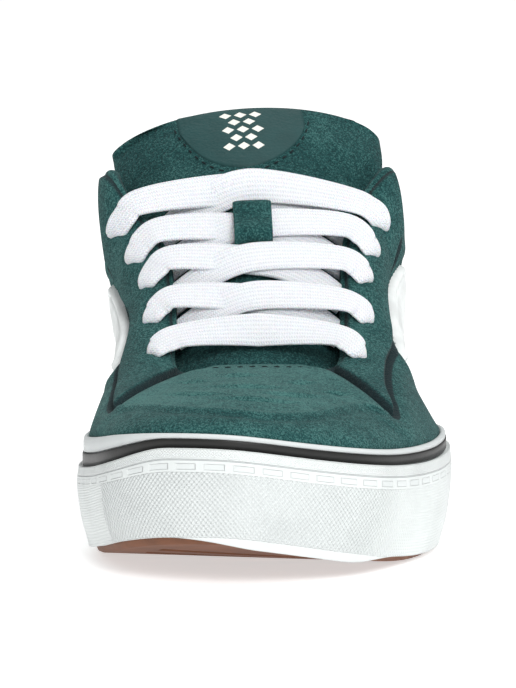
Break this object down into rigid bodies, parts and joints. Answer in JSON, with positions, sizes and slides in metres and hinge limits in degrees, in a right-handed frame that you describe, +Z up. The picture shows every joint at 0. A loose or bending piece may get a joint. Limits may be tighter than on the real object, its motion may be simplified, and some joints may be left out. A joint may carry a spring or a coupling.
{
  "type": "sneaker",
  "caption": "Low padded suede skate sneaker for the left foot, with a thick rubber cup sole, criss-cross flat laces and a padded tongue.",
  "frame": {"origin": "on the floor, in the middle of the shoe's length and width", "axes": "-Y towards the toe, +Y towards the heel, +X towards the outer side of the foot, +Z up"},
  "size_m": [0.1163, 0.3015, 0.1291],
  "materials": {
    "gum": "matte moulded gum rubber",
    "white_rubber": "satin white rubber",
    "black_rubber": "satin dark rubber",
    "foam_lining": "matte cloth over foam",
    "green_suede": "napped suede",
    "white_leather": "smooth padded leather",
    "green_leather": "smooth satin leather",
    "white_lace": "flat woven lace"
  },
  "bodies": {
    "root": {"outsole": "gum", "midsole": "white_rubber", "foxing_band": "white_rubber", "foxing_stripe": "black_rubber", "insole": "foam_lining", "upper": "green_suede", "eyestay_lateral": "green_suede", "side_panel_lateral": "white_leather", "eyestay_medial": "green_suede", "side_panel_medial": "white_leather", "tongue": "green_suede", "tongue_label": "green_leather", "lace_loop": "green_suede", "lace_row_1": "white_lace", "lace_row_2": "white_lace", "lace_row_3": "white_lace", "lace_row_4": "white_lace", "lace_row_5": "white_lace"}
  },
  "joints": []
}
